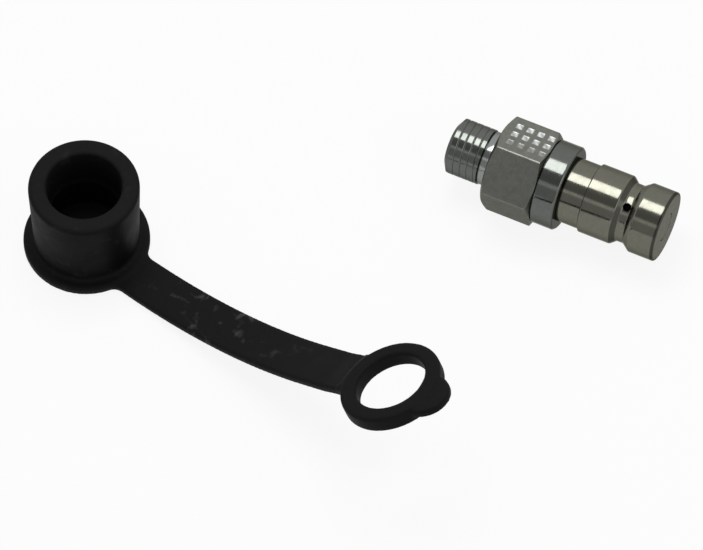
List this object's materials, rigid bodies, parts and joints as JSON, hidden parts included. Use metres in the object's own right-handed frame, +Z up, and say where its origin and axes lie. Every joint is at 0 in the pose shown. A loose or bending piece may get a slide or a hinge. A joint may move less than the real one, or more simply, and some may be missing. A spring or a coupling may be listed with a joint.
{
  "type": "test point coupling",
  "caption": "Steel plug-in hydraulic test point with threaded stud, hexagon, locking groove and flush valve, with its strapped rubber dust cap beside it.",
  "frame": {"origin": "on the nipple's axis at the hexagon's sealing shoulder, where the stud leaves it", "axes": "+X along the nipple's axis from the sealing shoulder towards the valve face, +Z up from the surface that nipple and cap lie on"},
  "size_m": [0.1214, 0.087, 0.0323],
  "materials": {
    "zinc_steel": "satin",
    "barrel_steel": "satin",
    "poppet_steel": "satin",
    "guide_steel": "satin",
    "spring_wire": "satin",
    "seal_rubber": "matte",
    "backup_plastic": "matte",
    "cap_rubber": "matte"
  },
  "bodies": {
    "coupling": {"hex_body": "zinc_steel", "nipple_barrel": "barrel_steel", "spring_guide": "guide_steel", "retaining_ring": "spring_wire", "valve_spring": "spring_wire", "barrel_seal": "seal_rubber", "backup_ring": "backup_plastic", "dust_cap": "cap_rubber"},
    "poppet": {"valve_poppet": "poppet_steel", "poppet_seal": "seal_rubber"}
  },
  "joints": [
    {"name": "valve_slide", "type": "slide", "parent": "coupling", "child": "poppet", "axis": [-1, 0, 0], "range_m": [0, 0.003], "stiffness_N_per_m": 800, "springref_m": -0.003, "deforming": ["valve_spring"]}
  ]
}
